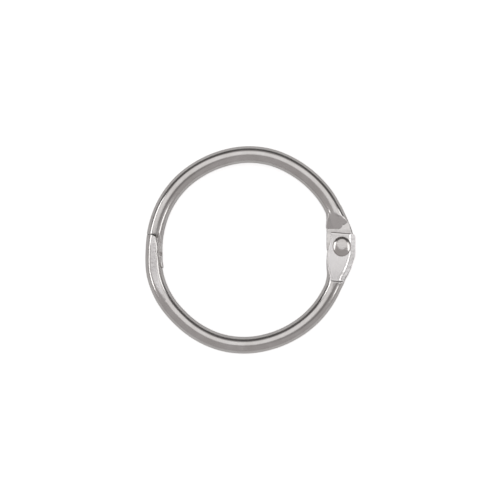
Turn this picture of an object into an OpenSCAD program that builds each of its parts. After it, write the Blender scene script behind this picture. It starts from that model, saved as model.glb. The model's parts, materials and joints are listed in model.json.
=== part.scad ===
// Hinged binder ring for punched sheets. Two round wire halves turn on a riveted
// fork hinge at the right and snap together in a side lap at the left.
// The ring lies flat; +Z is the ring's axis, +X points from the closure to the hinge.

/* [Ring] */
// clear diameter inside the closed ring
inner_d = 25.4; // [22:0.2:40]
// diameter of the round wire
wire_d = 2.5; // [2.4:0.05:3]
// how far the upper arc's centre sits right of the ring's middle
upper_right = 0.16; // [0:0.01:0.25]
// how far the upper arc's centre sits above the ring's middle
upper_up = 0.21; // [0:0.01:0.3]
// how far the lower arc's centre sits left of the ring's middle
lower_left = 0.05; // [0:0.01:0.1]
// how far the lower arc's centre sits below the ring's middle
lower_down = 0.25; // [0:0.01:0.35]

/* [Hinge fork] */
// height of the hinge pin above the ring's middle
pivot_up = 0.5; // [0:0.05:1]
// thickness over both cheeks of the fork
fork_t = 2.3; // [2.1:0.05:2.4]
// reach of the fork from the pin to its outer side
fork_out = 2.1; // [2:0.05:2.5]
// reach of the fork from the pin to its inner side
fork_in = 2.25; // [2.1:0.05:2.6]
// reach of the fork above the pin
fork_top = 2; // [1.7:0.05:2.1]
// reach of the pressed flat below the pin
fork_len = 5.25; // [4.5:0.05:6.5]
// depth of the slot below the pin
slot_depth = 2.2; // [2.15:0.05:2.8]
// width of the bevel along the fork's outer side
fork_bevel_out = 0.6; // [0.3:0.05:0.8]
// width of the bevel along the fork's inner side
fork_bevel_in = 0.25; // [0.15:0.05:0.4]
// height of both bevels
fork_bevel_h = 0.4; // [0.2:0.05:0.45]

/* [Hinge tongue] */
// thickness of the flattened tongue
tongue_t = 1.2; // [0.9:0.05:1.35]
// radius of the tongue's round end about the pin
tongue_r = 2; // [1.8:0.05:2.05]
// clearance between the tongue and each cheek
slot_gap = 0.04; // [0.02:0.01:0.1]
// height above the pin where the wire begins to thicken
ramp_from = 2.45; // [2.4:0.05:3]
// length of the slope from the tongue up to the round wire
ramp_len = 2.55; // [2:0.05:3.5]

/* [Rivet] */
// diameter of the rivet's shank
rivet_d = 1.3; // [1:0.05:1.5]
// radial clearance of the tongue on the shank
rivet_play = 0.04; // [0.02:0.01:0.1]
// diameter of each rivet head
head_d = 2.7; // [2.2:0.05:3]
// diameter of the flat on top of each head
head_flat_d = 1.45; // [1:0.05:1.8]
// height of each head
head_h = 0.42; // [0.3:0.02:0.6]

/* [Closure] */
// height of the upper wire's square end above the ring's middle
end_up = 2.4; // [2:0.05:3]
// gap between the upper wire's end and the lower wire's tip
tip_gap = 0.37; // [0.2:0.01:0.6]
// reach of the lap tongue below the upper wire's end
lap_len = 5.2; // [4.6:0.05:6]
// width of the lap tongue, from its inner side to the seam
lap_w = 0.76; // [0.6:0.02:1]
// thickness of the lap tongue
lap_t = 1.7; // [1.4:0.05:2]
// clearance in the seam
lap_gap = 0.03; // [0.02:0.01:0.06]
// length of the slope where the round wire thins to the lap tongue
lap_ramp = 1.75; // [1:0.05:2.2]
// length of the tapered end of the lap tongue
taper_len = 0.9; // [0.6:0.05:1.4]
// angle of the tapered end
taper_deg = 20; // [10:1:30]
// radius of the catch ridge on the lap tongue
catch_r = 0.25; // [0.2:0.01:0.35]
// height of the catch ridge over the seam
catch_h = 0.08; // [0.04:0.01:0.12]
// distance of the catch ridge below the ring's middle
catch_down = 0.35; // [0.1:0.05:0.6]
// width of the punched pit in the lap tongue
pit_w = 0.4; // [0.3:0.02:0.45]
// height of the punched pit
pit_l = 0.45; // [0.3:0.02:0.5]
// depth of the pit's floor below the tongue's face
pit_depth = 0.5; // [0.2:0.05:0.7]
// distance of the pit's lower side below the ring's middle
pit_down = 0.88; // [0.8:0.02:1.2]

/* [Pressed flat] */
// depth of the pressed flat at its deepest place
flat_depth = 0.24; // [0.1:0.02:0.3]
// depth of the pressed flat at the lower wire's tip
flat_tip_depth = 0.07; // [0.02:0.01:0.15]
// distance of the deepest place below the ring's middle
flat_down = 3.8; // [3.4:0.1:5]
// distance of the flat's lower end below the ring's middle
flat_end_down = 7.6; // [6.5:0.1:8.5]

/* [Hidden] */

ring_fn = 240;
wire_fn = 48;
pin_fn = 64;
seam_fn = 900;
eps = 0.01;
reach = 20;

mid_r = inner_d / 2 + wire_d / 2;
out_r = inner_d / 2 + wire_d;
half_t = fork_t / 2;
slot_t = tongue_t + 2 * slot_gap;
lift = half_t + head_h;

// the pin stands on the upper wire's centreline
pivot_x = upper_right + sqrt(pow(mid_r, 2) - pow(pivot_up - upper_up, 2));

// where the plate of the hinge tongue meets the upper wire
plate_top = ramp_from + ramp_len - 0.4;
plate_rise = pivot_up + plate_top - upper_up;
plate_top_in = upper_right + sqrt(pow(inner_d / 2, 2) - pow(plate_rise, 2)) - pivot_x;
plate_top_out = upper_right + sqrt(pow(out_r, 2) - pow(plate_rise, 2)) - pivot_x;
neck_up = ramp_from - 0.5;
neck_out = 0.8 * tongue_r;

// where the fork's outer side meets the lower wire
foot_drop = pivot_up - fork_len + lower_down;
foot_flare = 0.15;
foot_out = sqrt(pow(out_r, 2) - pow(foot_drop, 2)) - lower_left - pivot_x + foot_flare;
knee_down = 1.35;
corner = 0.6;
side_slope = atan2(fork_out - foot_out, fork_len - knee_down);

// the seam runs round the pin so that the halves slide past each other
seam_in = upper_right - sqrt(pow(inner_d / 2, 2) - pow(pivot_up - upper_up, 2));
seam_r = pivot_x - seam_in + lap_w;
lap_end = end_up - lap_len;
taper_from = lap_end + taper_len;
taper_x = pivot_x - sqrt(pow(seam_r, 2) - pow(taper_from - pivot_up, 2));
tip_up = end_up - tip_gap;
catch_deg = 180 + asin((catch_down + pivot_up) / seam_r);
pit_x = upper_right - sqrt(pow(inner_d / 2, 2) - pow(pit_down + upper_up, 2)) - 0.05;

upper_left_end = upper_right - out_r;
mid_x = (pivot_x + fork_out + upper_left_end) / 2;

// ring coordinates to part coordinates: centred, resting on the lower rivet head
module placed() {
    translate([-mid_x, 0, lift])
        children();
}

module at_pivot() {
    translate([pivot_x, pivot_up, 0])
        children();
}

// round wire bent to an arc of the ring
module wire_arc(right, up, from, to) {
    translate([right, up, 0])
        rotate([0, 0, from])
            rotate_extrude(angle = to - from, $fn = ring_fn)
                translate([mid_r, 0])
                    circle(d = wire_d, $fn = wire_fn);
}

module upper_wire(from, to) {
    wire_arc(upper_right, upper_up, from, to);
}

module lower_wire(from, to) {
    wire_arc(-lower_left, -lower_down, from, to);
}

// a box on the closure side of the ring, between two heights
module closure_band(low, high) {
    translate([-reach, low, -reach / 2])
        cube([reach, high - low, reach]);
}

// side profile swept across the ring, mirrored to both faces
module face_cut(points, width) {
    for (side = [0, 1])
        mirror([0, 0, side])
            rotate([90, 0, 90])
                linear_extrude(height = width)
                    polygon(points);
}

// everything on the tongue's side of the seam, grown by a clearance
module tongue_side(gap) {
    intersection() {
        at_pivot()
            cylinder(r = seam_r + gap, h = reach, center = true, $fn = seam_fn);
        translate([taper_x - gap, taper_from, 0])
            rotate([0, 0, taper_deg])
                translate([0, -reach / 2, -reach / 2])
                    cube([reach, reach, reach]);
    }
}

module catch_ridge(gap) {
    at_pivot()
        rotate([0, 0, catch_deg])
            translate([seam_r - catch_r + catch_h, 0, 0])
                cylinder(r = catch_r + gap, h = lap_t + 2 * gap, center = true, $fn = pin_fn);
}

// three-sided punch mark in the face of the lap tongue
module punched_pit() {
    translate([pit_x, -pit_down, lap_t / 2 - pit_depth])
        linear_extrude(height = wire_d)
            polygon([[-pit_w, 0], [0, 0], [-pit_w / 3, pit_l]]);
}

module lap_tongue() {
    difference() {
        union() {
            intersection() {
                upper_wire(165, 200);
                tongue_side(0);
                closure_band(lap_end, end_up + eps);
            }
            catch_ridge(0);
        }
        translate([-reach, 0, 0])
            face_cut([
                [end_up, wire_d / 2],
                [end_up - lap_ramp, lap_t / 2],
                [lap_end - 1, lap_t / 2],
                [lap_end - 1, wire_d],
                [end_up, wire_d]
            ], reach);
        punched_pit();
    }
}

// flattened plate that turns between the cheeks
module hinge_tongue() {
    at_pivot()
        linear_extrude(height = tongue_t, center = true)
            union() {
                circle(r = tongue_r, $fn = pin_fn);
                polygon([
                    [-tongue_r, 0],
                    [-fork_in, 0.4 * fork_top],
                    [plate_top_in, plate_top],
                    [plate_top_out, plate_top],
                    [neck_out, neck_up],
                    [tongue_r, 0]
                ]);
            }
}

module upper_half_ring() {
    color([0.74, 0.73, 0.71])
        placed()
            difference() {
                union() {
                    difference() {
                        upper_wire(6, 178);
                        closure_band(-reach, end_up);
                        at_pivot()
                            translate([-reach / 4, 0, 0])
                                face_cut([
                                    [0, tongue_t / 2],
                                    [ramp_from, tongue_t / 2],
                                    [ramp_from + ramp_len, wire_d / 2 + eps],
                                    [ramp_from + ramp_len, wire_d],
                                    [0, wire_d]
                                ], reach / 2);
                    }
                    lap_tongue();
                    hinge_tongue();
                }
                at_pivot()
                    cylinder(r = rivet_d / 2 + rivet_play, h = wire_d, center = true, $fn = pin_fn);
            }
}

// long prism whose slanted faces bevel the edges of the plate inside it
module bevelled_prism(left, right, bevel_left, bevel_right) {
    spread = (half_t - fork_bevel_h) / fork_bevel_h;
    rotate([90, 0, 0])
        linear_extrude(height = reach, center = true)
            polygon([
                [left - spread * bevel_left, 0],
                [left + bevel_left, -half_t],
                [right - bevel_right, -half_t],
                [right + spread * bevel_right, 0],
                [right - bevel_right, half_t],
                [left + bevel_left, half_t]
            ]);
}

module fork() {
    at_pivot()
        intersection() {
            linear_extrude(height = fork_t + 1, center = true)
                polygon([
                    [-fork_in, -fork_len],
                    [foot_out, -fork_len],
                    [fork_out, -knee_down],
                    [fork_out, fork_top - corner],
                    [fork_out - corner, fork_top],
                    [-fork_in + corner, fork_top],
                    [-fork_in, 0.4 * fork_top]
                ]);
            bevelled_prism(-fork_in, fork_out, fork_bevel_in, fork_bevel_out);
            translate([fork_out, -knee_down, 0])
                rotate([0, 0, -side_slope])
                    bevelled_prism(-reach / 2, 0, 1, fork_bevel_out);
        }
}

// the lower wire from its tip to the fork, thinned where the fork begins
module lower_stem() {
    difference() {
        lower_wire(165, 350);
        closure_band(tip_up, reach);
        translate([0, pivot_up - fork_len + 0.5, -reach / 2])
            cube([reach, reach, reach]);
        at_pivot()
            translate([-reach / 4, 0, 0])
                face_cut([
                    [-fork_len, half_t],
                    [0, half_t],
                    [0, wire_d],
                    [-fork_len, wire_d]
                ], reach / 2);
    }
}

module lower_half_ring() {
    color([0.72, 0.71, 0.69])
        placed()
            difference() {
                union() {
                    lower_stem();
                    fork();
                }
                // recess for the lap tongue and its ridge
                intersection() {
                    tongue_side(lap_gap);
                    closure_band(lap_end - lap_gap, reach);
                }
                catch_ridge(lap_gap);
                // outer side flush with the upper wire
                translate([upper_left_end - wire_d, -reach / 2, -reach / 2])
                    cube([wire_d, reach, reach]);
                // long pressed flat behind the tip
                translate([-reach, 0, 0])
                    face_cut([
                        [tip_up + 1, wire_d / 2 - flat_tip_depth],
                        [-flat_down, wire_d / 2 - flat_depth],
                        [-flat_end_down, wire_d / 2 + eps],
                        [-flat_end_down, wire_d],
                        [tip_up + 1, wire_d]
                    ], reach / 2);
                // slot and pin hole of the fork
                at_pivot()
                    translate([-reach / 4, -slot_depth, -slot_t / 2])
                        cube([reach / 2, reach / 2, slot_t]);
                at_pivot()
                    cylinder(d = rivet_d, h = wire_d, center = true, $fn = pin_fn);
            }
}

module rivet() {
    color([0.70, 0.68, 0.65])
        placed()
            at_pivot()
                rotate_extrude($fn = pin_fn)
                    polygon([
                        [0, -lift],
                        [head_flat_d / 2, -lift],
                        [head_d / 2 - head_h / 3, -half_t - head_h / 2],
                        [head_d / 2, -half_t],
                        [rivet_d / 2, -half_t],
                        [rivet_d / 2, half_t],
                        [head_d / 2, half_t],
                        [head_d / 2 - head_h / 3, half_t + head_h / 2],
                        [head_flat_d / 2, lift],
                        [0, lift]
                    ]);
}

upper_half_ring();
lower_half_ring();
rivet();
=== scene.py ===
import bmesh
import bpy
import json
import math
import numpy as np
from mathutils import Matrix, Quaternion, Vector


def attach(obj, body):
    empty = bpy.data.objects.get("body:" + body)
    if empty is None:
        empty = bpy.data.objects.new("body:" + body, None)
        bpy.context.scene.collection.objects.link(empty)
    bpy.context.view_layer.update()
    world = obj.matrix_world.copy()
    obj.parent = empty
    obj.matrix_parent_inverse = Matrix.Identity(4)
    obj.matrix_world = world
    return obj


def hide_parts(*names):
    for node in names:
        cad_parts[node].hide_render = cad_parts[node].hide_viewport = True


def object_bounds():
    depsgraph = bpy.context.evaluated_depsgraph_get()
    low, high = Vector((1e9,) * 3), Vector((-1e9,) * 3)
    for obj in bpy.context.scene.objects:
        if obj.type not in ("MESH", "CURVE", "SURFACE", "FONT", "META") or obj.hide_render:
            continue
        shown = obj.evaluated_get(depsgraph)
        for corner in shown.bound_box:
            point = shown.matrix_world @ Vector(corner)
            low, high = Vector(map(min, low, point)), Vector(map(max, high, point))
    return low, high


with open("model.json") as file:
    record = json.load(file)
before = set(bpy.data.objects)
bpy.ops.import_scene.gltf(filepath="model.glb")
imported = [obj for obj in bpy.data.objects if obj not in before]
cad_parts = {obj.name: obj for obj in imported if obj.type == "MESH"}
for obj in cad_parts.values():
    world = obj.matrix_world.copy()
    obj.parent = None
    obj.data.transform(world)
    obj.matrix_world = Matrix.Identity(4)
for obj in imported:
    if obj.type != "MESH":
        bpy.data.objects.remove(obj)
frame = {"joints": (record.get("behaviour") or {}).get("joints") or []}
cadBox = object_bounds()
scene = bpy.context.scene
mm = 0.001

# shapes are worked out in millimetres round the ring's middle, then put in place from the hinge pin
hinge = next(j for j in frame["joints"] if j["name"] == "ring_hinge")
pin = {
    "x": 14.107,  # right of the ring's middle
    "y": 0.5,  # above it
}
ringMiddle = Vector(hinge["pos_m"]) / mm - Vector((pin["x"], pin["y"], 0))

bend = {
    "wire": 2.5,
    # the halves are bent by hand, so they aren't true circles: angle from the right, distance from the middle
    "upper": ((15, 14.201), (30, 14.214), (45, 14.152), (60, 14.159), (75, 14.240), (90, 14.196), (105, 14.050),
              (120, 13.975), (135, 13.975), (150, 13.920), (165, 13.844), (180, 13.817), (195, 13.817)),
    "lower": ((165, 13.790), (180, 13.820), (195, 14.150), (210, 14.245), (225, 14.205), (240, 14.257), (255, 14.300),
              (270, 14.215), (285, 14.075), (300, 14.002), (315, 13.990), (330, 13.975), (345, 13.972)),
    "usual": 14,  # rough distance from the middle, turns angles into lengths
    "plain": {"upper": (31.9, 163.6), "lower": (212.4, 333.6)},  # where the wire stays round, degrees
    "sides": 96,
    "step": 1.1,  # degrees of arc for each ring of faces
}
wireRadius = bend["wire"] / 2

net = {
    "cell": 0.056,  # size of the faces on the pressed ends
    "quickCell": 0.075,
    "stretch": 1.15,  # they are this much longer along the wire
    "heights": (-1.4, 1.4),  # where the surface is looked for
    "nudge": 0.004,  # step for finding which way it faces
    "settling": 3,  # how often the points are moved onto it
    "leastLean": 0.2,  # keeps points still where it hardly leans
}


def through(a, b, c, d, t):
    # smooth curve from b (t = 0) to c (t = 1), with a and d on either side
    return b + 0.5 * t * (c - a + t * (2 * a - 5 * b + 4 * c - d + t * (3 * (b - c) + d - a)))


def bendRadius(half, angle):
    pairs = np.array(bend[half])
    radius = np.r_[2 * pairs[0, 1] - pairs[1, 1], pairs[:, 1], 2 * pairs[-1, 1] - pairs[-2, 1]]
    at = np.clip((angle - pairs[0, 0]) / (pairs[1, 0] - pairs[0, 0]), 0, len(pairs) - 1.001)
    k = np.floor(at).astype(int)
    return through(*(radius[k + n] for n in range(4)), at - k)


def angleOf(x, y, half):
    # counted so that it doesn't jump anywhere along the half
    angle = np.degrees(np.arctan2(y, x))
    return np.where(angle < (-90 if half == "upper" else 30), angle + 360, angle)


def acrossWire(x, y, half):
    # how far a point lies outside the middle line of the wire
    return np.hypot(x, y) - bendRadius(half, angleOf(x, y, half))


def roundedMax(a, b, soft):
    h = np.maximum(soft - np.abs(a - b), 0) / soft
    return np.maximum(a, b) + h * h * soft / 4


def roundedMin(a, b, soft):
    return -roundedMax(-a, -b, soft)


def ease(low, high, x):
    t = np.clip((x - low) / (high - low), 0, 1)
    return t * t * (3 - 2 * t)


def changing(y, start, change, low, high):
    # a size that changes between two heights
    return start + change * ease(low, high, y)


def outlineDistance(points, x, y):
    # distance to a closed outline, below zero inside it
    near = np.full(np.broadcast(x, y).shape, 1e9)
    inside = np.zeros(near.shape, bool)
    for (ax, ay), (bx, by) in zip(points, points[1:] + points[:1]):
        ex, ey = bx - ax, by - ay
        wx, wy = x - ax, y - ay
        t = np.clip((wx * ex + wy * ey) / (ex * ex + ey * ey), 0, 1)
        near = np.minimum(near, (wx - ex * t) ** 2 + (wy - ey * t) ** 2)
        if abs(ey) > 1e-9:
            inside ^= ((ay <= y) != (by <= y)) & (wx < wy * ex / ey)
    return np.where(inside, -1, 1) * np.sqrt(near)


def fromPin(x, y):
    return np.hypot(x - pin["x"], y - pin["y"])


def onRing(angle, radius):
    return (radius * math.cos(math.radians(angle)), radius * math.sin(math.radians(angle)))


def roundPin(radius, start, end, points=14):
    return [(pin["x"] + across, pin["y"] + up)
            for across, up in (onRing(a, radius) for a in np.linspace(start, end, points))]


def wireSide(half, side, start, end):
    # points down one side of the wire: side is 1 for the outer one, -1 for the inner one
    return [onRing(a, bendRadius(half, a) + side * wireRadius) for a in range(start, end, -3)]


def flowing(points, cuts=4):
    # more points on a smooth line through the given ones
    p = [np.array(q) for q in points]
    p = [2 * p[0] - p[1], *p, 2 * p[-1] - p[-2]]
    line = [tuple(through(a, b, c, d, t)) for a, b, c, d in zip(p, p[1:], p[2:], p[3:]) for t in np.arange(cuts) / cuts]
    return line + [tuple(p[-2])]


def sideRound(depth, z, radius):
    # a side of the bar, rounded from its middle height to its faces
    return np.hypot(np.maximum(radius - depth, 0), np.maximum(np.abs(z) - (wireRadius - radius), 0)) - radius


def sideRadius(y, square, low, high):
    # pressing squares a side off, and it turns back to the wire's round between two heights
    return square + (wireRadius - square) * ease(low, high, y)


def handWork(x, y, z, depth, size, seed, waves=10):
    # slow unevenness from pressing
    rng = np.random.default_rng(seed)
    total = 0
    for _ in range(waves):
        way = rng.normal(size=3)
        way *= 2 * math.pi / (size * rng.uniform(0.7, 1.6) * np.linalg.norm(way))
        total = total + np.sin(way[0] * x + way[1] * y + way[2] * z + rng.uniform(0, 6.3))
    return depth * (total / 4)


# ---- upper half: hinge tongue on the right, lap tongue on the left
tongue = {
    "plate": 1.2,  # thickness of the flat plate
    "plateLean": (1.0, 0.035),  # it thins above this height, by this much for each mm
    "disc": 2.0,  # radius of its round end
    "crown": (13.10, 5.50, -68.0),  # the crown line of the wire: a point on it and its way
    "rampFoot": (13.77, 3.13),  # corner of the ramp's foot
    "rampSlant": 41,  # beyond that corner the foot rises outwards
    "rampLength": (2.27, 1.86),  # straight down, and down from the slanting foot
    "rampUsual": 2.2,  # evens out distances on its slope
    "rampToe": (0.02, 0.4),  # the plate still rises this much just past the foot
    "rampRoll": 1.6,  # above 1 the ramp steepens towards its foot
    "nick": (14.26, 3.72, 0.11, 0.14),  # a small mark beside the foot: place, radius and depth
    "innerRound": (0.15, 3.3, 5.3),  # the inner side's round where pressed, and where that ends
    "shoulder": 0.24,  # height of the ramp above the plate along the inner side
    "edge": (0.30, 0.78),  # width and slope of the bevel along the outer side of the plate
    "edgeFade": (0.5, 3.4, 4.4),  # it sinks away by this much between these heights
    "hole": 1.38,
    "outer": ((24, 15.53), (21, 15.57), (18, 15.65), (15, 15.74), (12, 15.88), (9, 15.99)),  # angle, distance
    "inner": ((11.80, 5.27), (11.86, 4.58), (11.84, 3.86), (11.80, 3.40), (11.90, 3.05), (11.90, 2.53),
              (11.90, 1.90), (11.90, 1.20), (11.90, 0.60), (11.92, 0.10), (12.05, -0.18)),
    "uneven": (0.003, 1.1, 4),  # depth, size and seed
    "soft": {"ramp": 0.04, "sides": 0.02, "faces": 0.07, "edge": 0.02, "hole": 0.05},
    "grid": ((-9.5, 31.5), (-2.35, 2.35)),  # reach along the bend, degrees, and across it, mm
}
tongueOuter = (flowing(wireSide("upper", 1, 54, 26) + [onRing(a, r) for a, r in tongue["outer"]])
               + roundPin(tongue["disc"], 22, -90) + [(-60, -1.5), (-60, 12)])
tongueInner = (flowing(wireSide("upper", -1, 54, 26) + list(tongue["inner"]))
               + roundPin(tongue["disc"], 207, 270) + [(60, -1.5), (60, 12)])


def tongueRamp(x, y, z):
    cx, cy, way = tongue["crown"]
    over = -(x - cx) * math.sin(math.radians(way)) + (y - cy) * math.cos(math.radians(way))
    half, roll, slant = tongue["plate"] / 2, tongue["rampRoll"], math.radians(tongue["rampSlant"])
    (footX, footY), (straight, slanting), (toe, toeReach) = tongue["rampFoot"], tongue["rampLength"], tongue["rampToe"]
    dx, dy = x - footX, y - footY
    across = 1 - dy / straight
    outwards = 1 - (dy * math.cos(slant) - dx * math.sin(slant)) / slanting
    t = roundedMax(across, outwards, tongue["soft"]["ramp"])  # 0 at the ramp's head, 1 at its foot
    # the inner side keeps the wire's round
    wireTop = np.sqrt(np.maximum(wireRadius ** 2 - np.maximum(-over, 0) ** 2, 0))
    head = np.maximum(wireTop - half, tongue["shoulder"])
    ramp = head * (1 - np.abs(t) ** roll)
    rise = np.where(t > 1, 0, np.where(t > 0, ramp, head + (wireRadius - half) * np.abs(t)))
    rise = rise + toe * ease(1 + toeReach, 1, across)
    start, lean = tongue["plateLean"]
    thin = lean * np.maximum(y - start, 0) * (t > 0)
    nx, ny, size, deep = tongue["nick"]
    thin = thin + deep * np.exp(-((x - nx) ** 2 + (y - ny) ** 2) / size ** 2)
    steepness = math.hypot(1, (wireRadius - half) / tongue["rampUsual"])
    return (np.abs(z) - half - rise + thin * np.minimum(np.abs(t), 1)) / steepness


def tongueShape(x, y, z):
    soft = tongue["soft"]
    outer, inner = -outlineDistance(tongueOuter, x, y), -outlineDistance(tongueInner, x, y)
    innerRound = sideRadius(y, *tongue["innerRound"])
    bar = roundedMax(sideRound(outer, z, wireRadius), sideRound(inner, z, innerRound), soft["sides"])
    shape = roundedMax(bar, tongueRamp(x, y, z) + handWork(x, y, z, *tongue["uneven"]), soft["faces"])
    width, steep = tongue["edge"]
    sink, low, high = tongue["edgeFade"]
    edge = (np.abs(z) - tongue["plate"] / 2 + steep * (width - outer)) / math.hypot(1, steep)
    shape = roundedMax(shape, edge - sink * ease(low, high, y), soft["edge"])
    return roundedMax(shape, tongue["hole"] / 2 - fromPin(x, y), soft["hole"])


lap = {
    "end": 2.36,  # height of the wire's square end
    "tip": -2.8,  # lower end of the lap tongue
    "seam": 27.33,  # the seam runs round the pin at this radius
    "half": 0.62,  # half the thickness of the tongue
    "faceLean": 0.025,  # the flat drops towards the tip, by this much for each mm
    "rampFrom": (-13.30, 1.25),  # above here the flat rises to the wire
    "rampSlope": (0.10, 0.34),  # by this much for each mm to the right and up
    "waist": (0.08, -0.6, -1.8),  # the tongue is this much slimmer below these heights
    "taper": (-13.07, -1.9, 20),  # a point on the tip's slanting side, and its turn
    "tipRound": 0.4,
    "ridge": (0.25, 0.05, 0.35),  # radius, height and drop of the catch ridge
    "pit": ((-12.76, -0.50), (-12.86, -0.75), (-12.66, -0.75)),
    "pitTop": (0.02, 0.25),  # the pit narrows below this height, by this much for each mm
    "pitFloor": 0.10,
    "gap": 0.012,
    "overlap": 0.3,  # the tongue goes on this far into the wire
    "uneven": (0.001, 0.8, 9),
    "seamEdge": (0.10, -0.06, 0.8, 1.6),  # how soft its edge is along the seam, sharper between these heights
    "faceEdge": (0.07, 0.15, -1, -2.4),  # and round the flat, softer between these heights
    "soft": {"taper": 0.3, "ridge": 0.05, "tip": 0.35, "end": 0.10, "join": 0.03, "pit": 0.05},
    "grid": ((164, 192.8), (-1.55, 1.55)),
}


def lapSide(x, y, grow):
    # below zero on the lap tongue's side of the seam
    soft = lap["soft"]
    px, py, turn = lap["taper"]
    c, s = math.cos(math.radians(turn)), math.sin(math.radians(turn))
    side = roundedMax(fromPin(x, y) - lap["seam"], -((x - px) * c + (y - py) * s), soft["taper"])
    r, h, drop = lap["ridge"]
    turn = math.pi + math.asin((drop + pin["y"]) / lap["seam"])
    away = lap["seam"] - r + h
    cx, cy = pin["x"] + away * math.cos(turn), pin["y"] + away * math.sin(turn)
    side = roundedMin(side, np.hypot(x - cx, y - cy) - r, soft["ridge"])
    return roundedMax(side, lap["tip"] - y, soft["tip"]) - grow


def lapFace(x, y, z):
    (fx, fy), (sx, sy) = lap["rampFrom"], lap["rampSlope"]
    return np.abs(z) - lap["half"] - lap["faceLean"] * y - np.maximum(sx * (x - fx) + sy * (y - fy), 0)


def lapShape(x, y, z):
    soft = lap["soft"]
    across = acrossWire(x, y, "upper")
    full = roundedMax(np.hypot(across, z) - wireRadius, lap["end"] - y, soft["end"])
    slim, high, low = lap["waist"]
    inside = np.hypot(np.minimum(across, 0), z) - wireRadius + slim * ease(high, low, y)
    strip = roundedMax(inside, lap["tip"] - y, lap["tipRound"])
    strip = roundedMax(strip, lapSide(x, y, 0), changing(y, *lap["seamEdge"]))
    strip = roundedMax(strip, lapFace(x, y, z) + handWork(x, y, z, *lap["uneven"]), changing(y, *lap["faceEdge"]))
    strip = np.maximum(strip, y - lap["end"] - lap["overlap"])
    shape = roundedMin(full, strip, soft["join"])
    top, slope = lap["pitTop"]
    pit = np.maximum(outlineDistance(list(lap["pit"]), x, y) + slope * (top - z), lap["pitFloor"] - z)
    return roundedMax(shape, -pit, soft["pit"])


# ---- lower half: fork on the right, pressed tip on the left
fork = {
    "face": (0.90, 1.03),  # half the height over the cheeks, at the top and at the foot
    "faceSpan": (2.4, -4.9),  # heights of the top and the foot
    "slot": 0.64,  # half its height
    "slotFloor": -1.7,
    "top": ((12.52, 2.68), (15.60, 2.43)),  # two points on the cheeks' top edge
    "topBevel": 0.13,
    "bevelScale": 0.707,  # keeps distances true on the bevel
    "topRound": 0.75,  # radius of its outer corner
    "crease": (1.03, -0.08, -0.6, 1.2),  # width of the band along the outer side, narrower between these heights
    "shelf": (0.14, 0.21),  # drop from the face to that band, at the top and at the foot
    "shelfSpan": (1.0, -3.0),
    "shelfSlope": 31,  # degrees, from the face down to the band
    "shelfEdge": (0.04, 0.07, -4.2, -3.2),  # how soft the faces' edges are, softer between these heights
    "foot": (-4.52, 1.05),  # where the face turns up to the wire, and how steeply
    "footLine": (12.9, 0.05),  # the foot runs level here, and rises by this much for each mm outwards
    "footSoft": 0.04,
    "hole": 1.32,
    "innerRound": (0.30, -1.0, -4.6),  # the sides' rounds where pressed, and where that ends
    "outerRound": (0.50, -2.8, -5.4),
    "outer": ((16.16, 6.0), (16.16, 2.0), (16.16, 1.0), (16.16, -0.1), (16.12, -0.85), (15.88, -1.67),
              (15.58, -2.61), (15.17, -3.58), (14.89, -4.07), (14.65, -4.56), (14.46, -5.07), (14.23, -5.54)),
    "inner": ((12.62, 6.0), (12.52, 2.58), (12.38, 1.24), (12.10, 0.10), (11.93, -1.0), (11.90, -1.98),
              (11.90, -2.86), (11.94, -3.31), (11.94, -3.77), (11.88, -4.22), (11.77, -4.65)),
    "uneven": {"face": (0.001, 1.3, 7), "band": (0.002, 0.6, 3)},
    "soft": {"sides": 0.02, "bevel": 0.03, "shelf": 0.04, "face": 0.03, "slot": 0.05, "hole": 0.04},
    "grid": ((334, 373.5), (-2.45, 2.45)),
}
forkOuter = flowing(list(fork["outer"]) + wireSide("lower", 1, 336, 306)) + [(-60, -12), (-60, 6)]
forkInner = flowing(list(fork["inner"]) + wireSide("lower", -1, 336, 306)) + [(60, -12), (60, 6)]


def forkFace(x, y):
    (foot, steep), (level, rise) = fork["foot"], fork["footLine"]
    (top, bottom), (high, low) = fork["face"], fork["faceSpan"]
    past = np.maximum(foot - y - rise * (x - level), 0)
    return bottom + (top - bottom) * ease(low, high, y) + steep * past * past / (past + fork["footSoft"])


def forkShape(x, y, z):
    soft, uneven = fork["soft"], fork["uneven"]
    outer, inner = -outlineDistance(forkOuter, x, y), -outlineDistance(forkInner, x, y)
    (ax, ay), (bx, by) = fork["top"]
    top = ((bx - ax) * (y - ay) - (by - ay) * (x - ax)) / math.hypot(bx - ax, by - ay)
    innerRound, outerRound = sideRadius(y, *fork["innerRound"]), sideRadius(y, *fork["outerRound"])
    bar = roundedMax(sideRound(outer, z, outerRound), sideRound(inner, z, innerRound), soft["sides"])
    bar = roundedMax(bar, roundedMax(top, -outer, fork["topRound"]), soft["sides"])
    lift = np.abs(z) - forkFace(x, y)
    bar = roundedMax(bar, (top + lift + fork["topBevel"]) * fork["bevelScale"], soft["bevel"])
    steep = math.radians(fork["shelfSlope"])
    slope = lift * math.cos(steep) + (changing(y, *fork["crease"]) - outer) * math.sin(steep)
    (high, low), span = fork["shelf"], fork["shelfSpan"]
    band = lift + high + (low - high) * ease(*span, y) + handWork(x, y, z, *uneven["band"])
    faces = roundedMax(lift + handWork(x, y, z, *uneven["face"]), roundedMin(slope, band, soft["shelf"]), soft["face"])
    shape = roundedMax(bar, faces, changing(y, *fork["shelfEdge"]))
    slot = np.maximum(np.abs(z) - fork["slot"], fork["slotFloor"] - y)
    shape = roundedMax(shape, -slot, soft["slot"])
    return roundedMax(shape, fork["hole"] / 2 - fromPin(x, y), soft["hole"])


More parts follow.
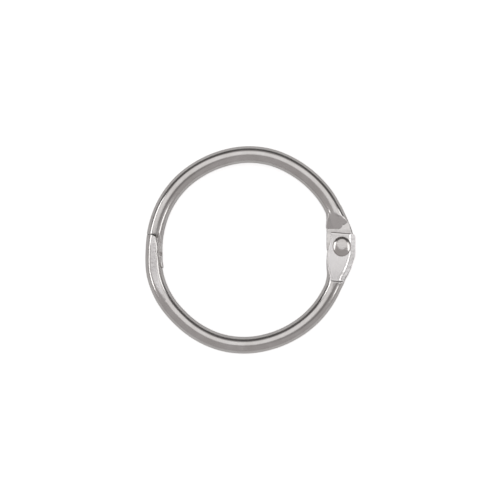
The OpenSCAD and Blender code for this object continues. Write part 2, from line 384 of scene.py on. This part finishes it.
tip = {
    "top": 2.33,
    "nose": (0.30, -14.3, -13.5),  # the end's corner by the seam falls back this much, between these places
    "shoulder": (0.45, -14.3, -15.0),  # and the corner on the outer side
    "corners": (0.25, 0.75),  # the corners are whole below the first height off the middle, cut above the second
    "bevel": (0.27, 27),  # width and slope of the flat's edge along the seam
    "bullet": (0.3, 2.4, 0.37, 0.075),  # the flat narrows between these heights, by this much inside and outside
    "bulletSide": (0.35, 0.95),  # the outside narrows fully only above these heights off the middle
    "seamFill": (0.61, 0.6),  # the seam stays closed below this height, and opens by this share at the end
    "flat": 0.10,  # depth of the pressed flat
    "flatEnds": (-7.9, -3.0),  # it starts at the first height and is full from the second
    "endScale": 0.9,  # keeps distances true over the slanting end
    "uneven": (0.0015, 0.42, 5),
    "soft": {"flat": 0.05, "bevel": 0.03, "seam": 0.10, "fill": 0.05, "join": 0.04, "end": 0.10},
    "grid": ((169, 212), (-1.5, 1.5)),
}


def tipFlat(x, y, z):
    end, whole = tip["flatEnds"]
    fade = tip["flat"] * (1 - ease(whole, end, y))
    return np.abs(z) - (wireRadius - fade) - handWork(x, y, z, *tip["uneven"])


def tipShape(x, y, z):
    soft, (width, slope) = tip["soft"], tip["bevel"]
    low, high, inside, outside = tip["bullet"]
    closing = ease(low, high, y)
    wire = np.hypot(acrossWire(x, y, "lower"), z) - wireRadius + outside * closing * ease(*tip["bulletSide"], np.abs(z))
    shape = roundedMax(wire, tipFlat(x, y, z), soft["flat"])
    seam = -lapSide(x, y, lap["gap"])
    narrowed = seam + inside * closing
    steep = math.radians(slope)
    bevel = (np.abs(z) - wireRadius + tip["flat"]) * math.cos(steep) + (narrowed + width) * math.sin(steep)
    fill, opening = tip["seamFill"]
    closed = roundedMax(np.maximum(shape, seam), np.abs(z) - fill * (1 - opening * closing ** 2), soft["fill"])
    shape = roundedMax(roundedMax(shape, bevel, soft["bevel"]), narrowed, soft["seam"])
    shape = roundedMin(shape, closed, soft["join"])
    (nose, *noseSpan), (shoulder, *shoulderSpan) = tip["nose"], tip["shoulder"]
    back = nose * ease(*noseSpan, x) + shoulder * ease(*shoulderSpan, x)
    return roundedMax(shape, (y - tip["top"] + back * ease(*tip["corners"], np.abs(z))) * tip["endScale"], soft["end"])


# ---- turning a shape into faces
def evenSteps(low, high, size):
    return np.linspace(low, high, max(2, int(round((high - low) / size)) + 1))


def edgesOf(value, axis):
    low, high = [slice(None)] * 3, [slice(None)] * 3
    low[axis], high[axis] = slice(0, -1), slice(1, None)
    a, b = value[tuple(low)], value[tuple(high)]
    crossed = (a < 0) != (b < 0)
    return crossed, np.where(crossed, a / np.where(crossed, a - b, 1), 0), a < 0


def netOf(value):
    # one point in each cell that the surface passes through, and a face round each edge that crosses it
    shape = value.shape
    total = np.zeros(tuple(n - 1 for n in shape) + (3,))
    count = np.zeros(total.shape[:3])
    found = [edgesOf(value, axis) for axis in range(3)]
    for axis, (crossed, at, _) in enumerate(found):
        p, q = [k for k in range(3) if k != axis]
        for dp in (0, 1):
            for dq in (0, 1):
                cut = [slice(None)] * 3
                cut[p], cut[q] = slice(dp, shape[p] - 1 + dp), slice(dq, shape[q] - 1 + dq)
                here = crossed[tuple(cut)]
                count += here
                total[..., axis] += np.where(here, at[tuple(cut)], 0)
                total[..., p] += here * dp
                total[..., q] += here * dq
    active = count > 0
    number = np.full(active.shape, -1)
    number[active] = np.arange(active.sum())
    cells = np.argwhere(active)
    points = cells + total[active] / count[active][:, None]
    faces = []
    for axis, (crossed, _, inside) in enumerate(found):
        p, q = [k for k in range(3) if k != axis]
        e = np.argwhere(crossed)
        e = e[(e[:, p] > 0) & (e[:, p] < shape[p] - 1) & (e[:, q] > 0) & (e[:, q] < shape[q] - 1)]
        back, aside = np.eye(3, dtype=int)[p], np.eye(3, dtype=int)[q]
        quad = np.stack([number[tuple((e - shift).T)] for shift in (back + aside, aside, 0 * back, back)], 1)
        turn = inside[tuple(e.T)] == (axis == 1)
        quad[turn] = quad[turn][:, ::-1]
        faces.append(quad)
    return points, cells, np.concatenate(faces)


def endPiece(shapeOf, half, span, across, size):
    # the surface of a shape, on a grid that follows the bend
    angles = evenSteps(*span, math.degrees(size * net["stretch"] / bend["usual"]))
    outs, ups = evenSteps(*across, size), evenSteps(*net["heights"], size)
    a, u = np.meshgrid(angles, outs, indexing="ij")
    radius = bendRadius(half, a) + u
    x, y = (radius * np.cos(np.radians(a)))[..., None], (radius * np.sin(np.radians(a)))[..., None]
    points, cells, faces = netOf(shapeOf(x, y, ups[None, None, :]) + np.zeros((1, 1, len(ups))))
    a = angles[0] + points[:, 0] * (angles[1] - angles[0])
    radius = bendRadius(half, a) + outs[0] + points[:, 1] * (outs[1] - outs[0])
    z = ups[0] + points[:, 2] * (ups[1] - ups[0])
    place = np.stack([radius * np.cos(np.radians(a)), radius * np.sin(np.radians(a)), z], 1)
    steps = net["nudge"] * np.eye(3)
    for _ in range(net["settling"]):
        here = shapeOf(*place.T)
        lean = np.stack([shapeOf(*(place + s).T) - shapeOf(*(place - s).T) for s in steps], 1) / (2 * net["nudge"])
        move = lean * (here / np.maximum((lean ** 2).sum(1), net["leastLean"]))[:, None]
        far = np.maximum(np.linalg.norm(move, axis=1), 1e-9)
        place -= move * np.minimum(1, 0.5 * size / far)[:, None]  # never more than half a cell
    rims = [np.flatnonzero(cells[:, 0] == 0), np.flatnonzero(cells[:, 0] == cells[:, 0].max())]
    return place, faces.tolist(), rims


def aroundWire(points, half):
    return np.arctan2(points[:, 2], acrossWire(points[:, 0], points[:, 1], half))


def bridge(points, half, rimA, rimB):
    # triangles between two rims that have different numbers of points
    angle = aroundWire(points, half)
    a, b = rimA[np.argsort(angle[rimA])], rimB[np.argsort(angle[rimB])]
    faces, i, j = [], 0, 0
    while i < len(a) or j < len(b):
        nextA = angle[a[(i + 1) % len(a)]] + (2 * math.pi if i + 1 >= len(a) else 0)
        nextB = angle[b[(j + 1) % len(b)]] + (2 * math.pi if j + 1 >= len(b) else 0)
        if j >= len(b) or (i < len(a) and nextA <= nextB):
            faces.append([a[i % len(a)], a[(i + 1) % len(a)], b[j % len(b)]])
            i += 1
        else:
            faces.append([b[j % len(b)], a[i % len(a)], b[(j + 1) % len(b)]])
            j += 1
    return faces


# ---- the plain wire, swept along the bend
def wireTree(finish):
    tree = bpy.data.node_groups.new("bent wire", "GeometryNodeTree")
    face = tree.interface
    face.new_socket("Bend", in_out="INPUT", socket_type="NodeSocketGeometry")
    thickness = face.new_socket("Wire Thickness", in_out="INPUT", socket_type="NodeSocketFloat")
    sides = face.new_socket("Sides", in_out="INPUT", socket_type="NodeSocketInt")
    face.new_socket("Wire", in_out="OUTPUT", socket_type="NodeSocketGeometry")
    node, link = tree.nodes.new, tree.links.new
    given, made = node("NodeGroupInput"), node("NodeGroupOutput")
    line, sweep = node("GeometryNodeMeshToCurve"), node("GeometryNodeCurveToMesh")
    profile, half = node("GeometryNodeCurvePrimitiveCircle"), node("ShaderNodeMath")
    half.operation = "MULTIPLY"
    half.inputs[1].default_value = 0.5
    smooth = node("GeometryNodeSetShadeSmooth")
    whole, paint = node("GeometryNodeRealizeInstances"), node("GeometryNodeSetMaterial")
    paint.inputs["Material"].default_value = finish
    link(given.outputs["Bend"], line.inputs["Mesh"])
    link(given.outputs["Wire Thickness"], half.inputs[0])
    link(half.outputs[0], profile.inputs["Radius"])
    link(given.outputs["Sides"], profile.inputs["Resolution"])
    link(line.outputs["Curve"], sweep.inputs["Curve"])
    link(profile.outputs["Curve"], sweep.inputs["Profile Curve"])
    link(sweep.outputs["Mesh"], smooth.inputs["Geometry"])
    link(smooth.outputs["Geometry"], whole.inputs["Geometry"])
    link(whole.outputs["Geometry"], paint.inputs["Geometry"])
    link(paint.outputs["Geometry"], made.inputs["Wire"])
    return tree, thickness.identifier, sides.identifier


def sweptWire(half, start, end, finish):
    angles = evenSteps(start, end, bend["step"])
    line = bpy.data.meshes.new("bend line")
    spots = [(*onRing(a, bendRadius(half, a)), 0) for a in angles]
    line.from_pydata(spots, [(k, k + 1) for k in range(len(spots) - 1)], [])
    holder = bpy.data.objects.new("bend line", line)
    scene.collection.objects.link(holder)
    tree, thickness, sides = wireTree(finish)
    sweep = holder.modifiers.new("bent wire", "NODES")
    sweep.node_group = tree
    sweep[thickness] = float(bend["wire"])
    sweep[sides] = bend["sides"]
    shown = holder.evaluated_get(bpy.context.evaluated_depsgraph_get())
    made = bpy.data.meshes.new_from_object(shown)
    points = np.array([v.co for v in made.vertices], float)
    faces = [list(p.vertices) for p in made.polygons]
    holder.modifiers.remove(sweep)
    bpy.data.objects.remove(holder)
    bpy.data.meshes.remove(made)
    angle = angleOf(points[:, 0], points[:, 1], half)
    rims = [np.flatnonzero(np.abs(angle - edge) < bend["step"] / 2) for edge in (angles[0], angles[-1])]
    return points, faces, rims


def addPoints(mesh, name, kind, values):
    field = {"FLOAT": "value", "FLOAT_VECTOR": "vector"}[kind]
    mesh.attributes.new(name, kind, "POINT").data.foreach_set(field, np.asarray(values, np.float32).ravel())


def closedPiece(mesh, finish):
    # faces turned outwards and smoothed, then the piece joins the scene
    skin = bmesh.new()
    skin.from_mesh(mesh)
    bmesh.ops.recalc_face_normals(skin, faces=skin.faces)
    openEdges = sum(not e.is_manifold for e in skin.edges)
    skin.to_mesh(mesh)
    skin.free()
    mesh.polygons.foreach_set("use_smooth", [True] * len(mesh.polygons))
    mesh.materials.append(finish)
    piece = bpy.data.objects.new(mesh.name, mesh)
    scene.collection.objects.link(piece)
    triangles = sum(len(p.vertices) - 2 for p in mesh.polygons)
    print(piece.name, "made:", len(mesh.vertices), "points,", triangles, "triangles,", openEdges, "open edges")
    return piece


def halfRing(name, half, finish, first, last, pressed):
    # an end piece, the wire and the other end piece, joined into one closed skin
    size = net["cell"]
    (firstShape, firstGrid), (lastShape, lastGrid) = first, last
    parts = [endPiece(firstShape, half, *firstGrid, size), sweptWire(half, *bend["plain"][half], finish),
             endPiece(lastShape, half, *lastGrid, size)]
    points = np.concatenate([p[0] for p in parts])
    counts = np.cumsum([0] + [len(p[0]) for p in parts])
    faces = [[v + start for v in f] for start, p in zip(counts, parts) for f in p[1]]
    faces += bridge(points, half, parts[0][2][1], parts[1][2][0] + counts[1])
    faces += bridge(points, half, parts[1][2][1] + counts[1], parts[2][2][0] + counts[2])
    mesh = bpy.data.meshes.new(name)
    mesh.from_pydata(((points + np.array(ringMiddle)) * mm).tolist(), [], [[int(v) for v in f] for f in faces])
    x, y, z = points.T
    along = np.radians(angleOf(x, y, half)) * bend["usual"]
    addPoints(mesh, "flow", "FLOAT_VECTOR", np.stack([along, acrossWire(x, y, half), z], 1))
    addPoints(mesh, "pressed", "FLOAT", pressed(x, y, z))
    return closedPiece(mesh, finish)


# ---- finishes
plating = {
    "dull": (0.66, 0.645, 0.63),
    "bright": (0.74, 0.73, 0.72),
    "frosted": (0.94, 0.935, 0.935),  # where pressed
    "paintedRimShade": (0.40, 0.37, 0.35),  # painted shade under the rivet's rim
    "roughness": (0.13, 0.20),
    "pressedRoughness": (0.02, 0.10),  # added where pressed
    "clouds": (600, 4),  # scale and detail of the slow changes of colour
    "lines": (9, 3, (0.03, 1, 1)),  # of the drawing lines along the wire, and their stretch
    "grain": (9, 4, (0.16, 1, 1)),  # of the marks on the pressed faces
    "lineDepth": 0.002,
    "grainDepth": 0.010,
}
rivetPlating = dict(plating, dull=(0.62, 0.60, 0.585), bright=(0.68, 0.665, 0.65), frosted=(0.84, 0.825, 0.815),
                    roughness=(0.14, 0.24))
pressedMarks = {
    "tongueTop": 7,  # the upper half is pressed below this height on the right
    "forkFoot": -5,  # and the lower half above this one
    "upper": (0.3, 0.01, 0.08),  # how frosted, and how near to the pressed face it is full and gone
    "cheek": (1, 0.01, 0.05),
    "cheekShare": (0.95, -0.35, 0.4, 2.2),  # the cheeks are less frosted above these heights
    "band": (-0.02, -0.06),  # the band along the cheeks' outer side starts this far under their face
    "bandHeight": 0.7,  # and stops at this height off the middle
    "bandWidth": (0.95, 0.8),
    "tip": (1, 0.002, 0.014),
    "tipEnd": (-6, -7.9),  # the tip's flat is less frosted below these heights
}


def rangeOf(nodes, links, value, fromLow, fromHigh, toLow, toHigh, curve="LINEAR"):
    ranged = nodes.new("ShaderNodeMapRange")
    ranged.interpolation_type = curve
    for socket, number in zip(("From Min", "From Max", "To Min", "To Max"), (fromLow, fromHigh, toLow, toHigh)):
        ranged.inputs[socket].default_value = number
    links.new(value, ranged.inputs["Value"])
    return ranged.outputs["Result"]


def nickel(name, look):
    finish = bpy.data.materials.new(name)
    finish.use_nodes = True
    nodes, links = finish.node_tree.nodes, finish.node_tree.links
    nodes.clear()
    out, metal, place = (nodes.new(kind) for kind in (
        "ShaderNodeOutputMaterial", "ShaderNodeBsdfPrincipled", "ShaderNodeTexCoord"))
    links.new(metal.outputs["BSDF"], out.inputs["Surface"])
    metal.inputs["Metallic"].default_value = 1

    def mark(attribute, output):
        node = nodes.new("ShaderNodeAttribute")
        node.attribute_name = attribute
        return node.outputs[output]

    def noise(vector, scale, detail, stretch=None):
        tex = nodes.new("ShaderNodeTexNoise")
        tex.inputs["Scale"].default_value = scale
        tex.inputs["Detail"].default_value = detail
        if stretch:
            mapping = nodes.new("ShaderNodeMapping")
            mapping.inputs["Scale"].default_value = stretch
            links.new(vector, mapping.inputs["Vector"])
            vector = mapping.outputs["Vector"]
        links.new(vector, tex.inputs["Vector"])
        return tex.outputs["Fac"]

    def spread(value, low, high):
        return rangeOf(nodes, links, value, 0.3, 0.7, low, high)  # noise mostly lies between 0.3 and 0.7

    def blend(first, second, factor):
        mix = nodes.new("ShaderNodeMix")
        mix.data_type = "RGBA"
        if isinstance(first, tuple):
            mix.inputs["A"].default_value = (*first, 1)
        else:
            links.new(first, mix.inputs["A"])
        mix.inputs["B"].default_value = (*second, 1)
        links.new(factor, mix.inputs["Factor"])
        return mix.outputs["Result"]

    def maths(kind, a, b):
        m = nodes.new("ShaderNodeMath")
        m.operation = kind
        for socket, value in zip(m.inputs, (a, b)):
            if isinstance(value, (int, float)):
                socket.default_value = value
            else:
                links.new(value, socket)
        return m.outputs[0]

    flow, pressed = mark("flow", "Vector"), mark("pressed", "Fac")
    clouds = noise(place.outputs["Object"], *look["clouds"])
    lines, grain = noise(flow, *look["lines"]), noise(flow, *look["grain"])
    plate = blend(look["dull"], look["bright"], spread(clouds, 0, 1))
    # painted shade: the colour darkens where the rivet's rim sits on the cheek
    plate = blend(blend(plate, look["frosted"], pressed), look["paintedRimShade"], mark("paintedRimShade", "Fac"))
    links.new(plate, metal.inputs["Base Color"])
    rougher = maths("MULTIPLY", pressed, spread(grain, *look["pressedRoughness"]))
    links.new(maths("ADD", spread(lines, *look["roughness"]), rougher), metal.inputs["Roughness"])
    dents = maths("MULTIPLY", maths("MULTIPLY", grain, pressed), look["grainDepth"])
    bump = nodes.new("ShaderNodeBump")
    bump.inputs["Strength"].default_value = 1
    bump.inputs["Distance"].default_value = mm
    links.new(maths("ADD", maths("MULTIPLY", lines, look["lineDepth"]), dents), bump.inputs["Height"])
    links.new(bump.outputs["Normal"], metal.inputs["Normal"])
    return finish


def nearFace(distance, most, full, gone):
    return most * (1 - ease(full, gone, np.abs(distance)))


def upperPressed(x, y, z):
    onTongue = (x > 0) & (y < pressedMarks["tongueTop"])
    onLap = (x < 0) & (y < lap["end"])
    near = np.where(onTongue, tongueRamp(x, y, z), np.where(onLap, lapFace(x, y, z), -1))
    return nearFace(near, *pressedMarks["upper"])


def lowerPressed(x, y, z):
    onFork = (x > 0) & (y > pressedMarks["forkFoot"])
    outer = -outlineDistance(forkOuter, x, y)
    near = np.abs(z) - forkFace(x, y)
    cheek = nearFace(near, *pressedMarks["cheek"]) * changing(y, *pressedMarks["cheekShare"])
    band = ease(*pressedMarks["band"], near) * ease(*pressedMarks["bandWidth"], outer)
    band = band * (np.abs(z) > pressedMarks["bandHeight"])
    flat = nearFace(tipFlat(x, y, z), *pressedMarks["tip"]) * (1 - ease(*pressedMarks["tipEnd"], y))
    return np.where(onFork, np.maximum(cheek, band), np.where(x < 0, flat, 0))


wireFinish = nickel("nickel plated wire", plating)
rivetFinish = nickel("nickel plated rivet", rivetPlating)
upperHalf = halfRing("upperHalf", "upper", wireFinish,
                     (tongueShape, tongue["grid"]), (lapShape, lap["grid"]), upperPressed)
lowerHalf = halfRing("lowerHalf", "lower", wireFinish,
                     (tipShape, tip["grid"]), (forkShape, fork["grid"]), lowerPressed)

# ---- rivet
rivet = {
    "shank": 1.30,
    "head": 2.70,
    "flat": 1.46,  # width of the flat on top
    # how steep the head's side is, degrees, from the flat (0) to the rim (1)
    "flank": ((0, 18), (0.2, 24), (0.45, 28), (0.8, 32), (0.9, 45), (1, 66)),
    "flankSteps": 40,
    "height": 0.42,
    "cheek": 1.15,  # the heads' height counts from here, the outside of the CAD model's cheeks
    "seat": 0.89,  # but they reach down to here
    "lean": 0.25,  # the set head's flat stands off centre
    "lowerLean": 0.06,  # and the made head's flat
    "tilt": 0.05,  # slope of the set head's flat
    "oval": 1.095,  # the heads spread a little more along the cheeks than across
    "crown": (0.3, 0.6, 0.85, 0.95),  # rings on the flat, as shares of its radius
    "dish": (0.012, 0.016),  # fall from the flat's middle to its edge, and to the start of the side
    "rim": (0.015, 0.02),  # height and width of the rim's turned under edge
    "neck": (0.05, 0.03),  # width and height of the step to the shank
    "frosted": (0.5, 0.1),  # on the flat and on the side
    "paintedRimShade": (0.80, 1.0),  # painted shade on the side, from here to the rim
    "peak": 0.002,  # height of the flat's very middle
    "flatDepth": 0.02,  # what lies above this is frosted as the flat
    "sides": 96,
}


def rivetProfile(lean):
    # radius, height and shift of each ring of one head, from the flat outwards and down to the seat
    r, f = rivet["head"] / 2, rivet["flat"] / 2
    top, (dish, start) = rivet["cheek"] + rivet["height"], rivet["dish"]
    rings = [(f * t, top - dish * t ** 4, lean) for t in rivet["crown"]]
    steps = np.linspace(0, 1, rivet["flankSteps"] + 1)
    steep = np.tan(np.radians(np.interp(steps, *zip(*rivet["flank"]))))
    drop = np.concatenate([[0], np.cumsum((steep[1:] + steep[:-1]) / 2)]) / rivet["flankSteps"]
    for t, fall in list(zip(steps, drop))[1::2] + [(1, drop[-1])]:
        rings.append((f + (r - f) * t, top - start - (r - f) * fall, lean * (1 - t)))
    (edge, tuck), seat = rivet["rim"], rivet["seat"]
    return rings + [(r, seat + edge, 0), (r - tuck, seat, 0), (rivet["shank"] / 2 + rivet["neck"][0], seat, 0)]


def makeRivet(finish):
    lower = [(r, -h, s) for r, h, s in rivetProfile(rivet["lowerLean"])][::-1]
    shank, neck = rivet["shank"] / 2, rivet["seat"] - rivet["neck"][1]
    rings = rivetProfile(rivet["lean"]) + [(shank, neck, 0), (shank, -neck, 0)] + lower
    n = rivet["sides"]
    points, faces = [(0, rivet["lean"], rings[0][1] + rivet["peak"])], []
    for radius, height, shift in rings:
        for a in np.linspace(0, 2 * math.pi, n, endpoint=False):
            tilt = rivet["tilt"] * shift / rivet["lean"] * radius * math.sin(a) * (height > 0)
            points.append((radius * math.cos(a), radius * rivet["oval"] * math.sin(a) + shift, height - tilt))
    points.append((0, rivet["lowerLean"], rings[-1][1] - rivet["peak"]))
    for k in range(n):
        m = (k + 1) % n
        faces.append((0, 1 + k, 1 + m))
        for row in range(len(rings) - 1):
            a = 1 + row * n
            faces.append((a + k, a + n + k, a + n + m, a + m))
        a = 1 + (len(rings) - 1) * n
        faces.append((len(points) - 1, a + m, a + k))
    middle = Vector(hinge["pos_m"])
    mesh = bpy.data.meshes.new("hingeRivet")
    mesh.from_pydata([tuple(Vector(p) * mm + middle) for p in points], [], faces)
    onFlat, onSide = rivet["frosted"]
    flatHeight = rivet["cheek"] + rivet["height"] - rivet["flatDepth"]
    addPoints(mesh, "flow", "FLOAT_VECTOR", points)
    addPoints(mesh, "pressed", "FLOAT", [onFlat if h > flatHeight else onSide for _, _, h in points])
    out = np.hypot(*(np.array(points)[:, :2] / (1, rivet["oval"])).T) - rivet["flat"] / 2
    # painted shade, strongest at the rim of the head where it meets the cheek
    addPoints(mesh, "paintedRimShade", "FLOAT", ease(*rivet["paintedRimShade"], out / (rivet["head"] - rivet["flat"]) * 2))
    return closedPiece(mesh, finish)


hingeRivet = makeRivet(rivetFinish)

for piece, body, node in ((upperHalf, "upper_half", "upper_half_ring"), (lowerHalf, "lower_half", "lower_half_ring"),
                          (hingeRivet, "lower_half", "rivet")):
    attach(piece, body)
    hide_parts(node)
print("pieces put on their bodies")

# ---- studio
studio = {
    "view": 74.5,  # width of the view across the ring, mm
    "middle": (-0.1065, -0.0295),  # what the camera looks straight down at
    "distance": 0.24,
    "mid": 0.40,  # brightness all round
    "dark": 0.10,  # brightness of the band behind the ring
    "band": (0.12, 0.43),  # it sets in between these, going back
    "bandTop": (0.62, 0.45),  # and fades out between these, going up
    "stand": (0.28, -0.16, 0.95),  # which way the dark camera stand is
    "standSize": (0.12, 0.31),
    "standDark": 0.18,  # how much darker it is
    "tint": (1.045, 0.99, 0.985),
    "floor": (0.82, 0.82, 0.82),
    "floorSize": 2.5,
    "floorDrop": 0.00002,  # keeps it clear of the rivet
    "whiteSeen": 0.68,  # makes the floor white for the camera
    "whiteMirrored": 0.04,
    # place, what it points at, size, brightness and turn
    "softboxes": {
        "overhead softbox": ((0, 0.292, 0.60), (0, 0.292, 0), (1.08, 0.57), 0.48, -8),
        "left softbox": ((-0.70, 0.055, 0.42), (0, 0, 0), (0.71, 0.20), 1.9, 0),
        "right softbox": ((0.68, -0.005, 0.45), (0, 0, 0), (0.70, 0.20), 1.45, 0),
    },
}


def addCamera():
    data = bpy.data.cameras.new("camera")
    data.sensor_width = 36
    data.lens = data.sensor_width * studio["distance"] / (studio["view"] * mm)
    data.clip_start, data.clip_end = 0.01, 10
    camera = bpy.data.objects.new("camera", data)
    x, y = studio["middle"]
    camera.location = (x * mm, y * mm, hinge["pos_m"][2] + studio["distance"])
    scene.collection.objects.link(camera)
    scene.camera = camera


def addSoftbox(name, place, aim, size, brightness, turn):
    data = bpy.data.lights.new(name, "AREA")
    data.shape = "RECTANGLE"
    data.size, data.size_y = size
    data.energy = brightness * math.pi * size[0] * size[1]
    lamp = bpy.data.objects.new(name, data)
    lamp.location = place
    facing = (Vector(aim) - Vector(place)).to_track_quat("-Z", "Y")
    lamp.rotation_euler = (facing @ Quaternion((0, 0, 1), math.radians(turn))).to_euler()
    lamp.visible_camera = False
    scene.collection.objects.link(lamp)


def addWorld():
    world = bpy.data.worlds.new("studio")
    scene.world = world
    world.use_nodes = True
    nodes, links = world.node_tree.nodes, world.node_tree.links
    nodes.clear()
    out, back, seen, mixed, path, way, parts, band, spot, both = (nodes.new("ShaderNode" + kind) for kind in (
        "OutputWorld", "Background", "Background", "MixShader", "LightPath", "TexCoord", "SeparateXYZ",
        "Math", "VectorMath", "Math"))
    band.operation, spot.operation, both.operation = "MULTIPLY", "DISTANCE", "SUBTRACT"
    links.new(way.outputs["Generated"], parts.inputs[0])
    links.new(rangeOf(nodes, links, parts.outputs["Y"], *studio["band"], 0, 1, "SMOOTHSTEP"), band.inputs[0])
    links.new(rangeOf(nodes, links, parts.outputs["Z"], *studio["bandTop"], 0, 1, "SMOOTHSTEP"), band.inputs[1])
    links.new(rangeOf(nodes, links, band.outputs[0], 0, 1, studio["mid"], studio["dark"]), both.inputs[0])
    links.new(way.outputs["Generated"], spot.inputs[0])
    spot.inputs[1].default_value = studio["stand"]
    shade = rangeOf(nodes, links, spot.outputs["Value"], *studio["standSize"], studio["standDark"], 0, "SMOOTHSTEP")
    links.new(shade, both.inputs[1])
    links.new(both.outputs[0], back.inputs["Strength"])
    back.inputs["Color"].default_value = (*studio["tint"], 1)
    seen.inputs["Color"].default_value = (1, 1, 1, 1)
    links.new(path.outputs["Is Camera Ray"], mixed.inputs[0])
    links.new(back.outputs[0], mixed.inputs[1])
    links.new(seen.outputs[0], mixed.inputs[2])
    links.new(mixed.outputs[0], out.inputs["Surface"])


def addFloor():
    mesh = bpy.data.meshes.new("floor")
    s, z = studio["floorSize"], cadBox[0].z - studio["floorDrop"]
    mesh.from_pydata([(-s, -s, z), (s, -s, z), (s, s, z), (-s, s, z)], [], [(0, 1, 2, 3)])
    floor = bpy.data.objects.new("floor", mesh)
    scene.collection.objects.link(floor)
    paper = bpy.data.materials.new("white paper")
    paper.use_nodes = True
    nodes, links = paper.node_tree.nodes, paper.node_tree.links
    nodes.clear()
    out, matt, glow, both, path, level, mirrored = (nodes.new("ShaderNode" + kind) for kind in (
        "OutputMaterial", "BsdfDiffuse", "Emission", "AddShader", "LightPath", "Math", "Math"))
    matt.inputs["Color"].default_value = (*studio["floor"], 1)
    level.operation, mirrored.operation = "MULTIPLY_ADD", "MULTIPLY"
    level.inputs[1].default_value = studio["whiteSeen"]
    mirrored.inputs[1].default_value = studio["whiteMirrored"]
    links.new(path.outputs["Is Glossy Ray"], mirrored.inputs[0])
    links.new(path.outputs["Is Camera Ray"], level.inputs[0])
    links.new(mirrored.outputs[0], level.inputs[2])
    links.new(level.outputs[0], glow.inputs["Strength"])
    links.new(matt.outputs[0], both.inputs[0])
    links.new(glow.outputs[0], both.inputs[1])
    links.new(both.outputs[0], out.inputs["Surface"])
    mesh.materials.append(paper)


addCamera()
addWorld()
addFloor()
for name, setting in studio["softboxes"].items():
    addSoftbox(name, *setting)
scene.view_settings.view_transform = "Standard"
print("studio set up")
